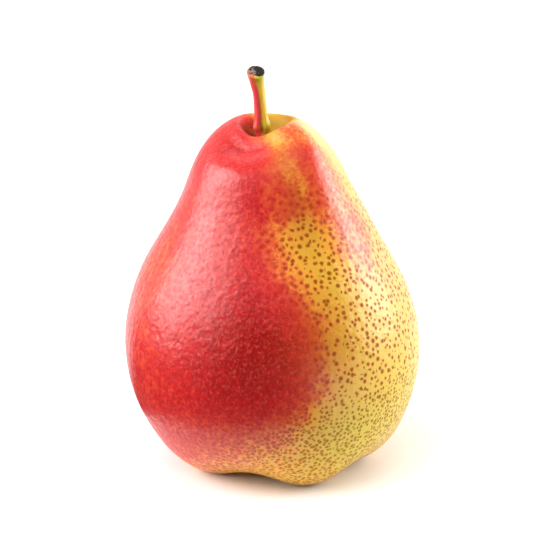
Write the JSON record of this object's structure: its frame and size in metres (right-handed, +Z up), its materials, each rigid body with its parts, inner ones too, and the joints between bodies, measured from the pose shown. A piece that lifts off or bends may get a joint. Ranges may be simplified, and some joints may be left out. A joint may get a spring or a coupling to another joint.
{
  "type": "pear",
  "caption": "Ripe pear with a red blush over yellow, a ridged shoulder, a short flared stalk and a dried flower end under its base.",
  "frame": {"origin": "on the surface that the pear stands on, under the middle of its outline", "axes": "+Z up along the core from the flower end to the stalk; -Y is the front, with the red blush on -X and the yellow side on +X"},
  "size_m": [0.0713, 0.0716, 0.0975],
  "materials": {
    "blushed_skin": "satin",
    "stalk_skin": "satin",
    "dried_sepal": "matte",
    "dried_stamen": "matte"
  },
  "bodies": {
    "root": {"fruit": "blushed_skin", "stem": "stalk_skin", "sepal_1": "dried_sepal", "sepal_2": "dried_sepal", "sepal_3": "dried_sepal", "sepal_4": "dried_sepal", "sepal_5": "dried_sepal", "dried_stamens": "dried_stamen"}
  },
  "joints": []
}
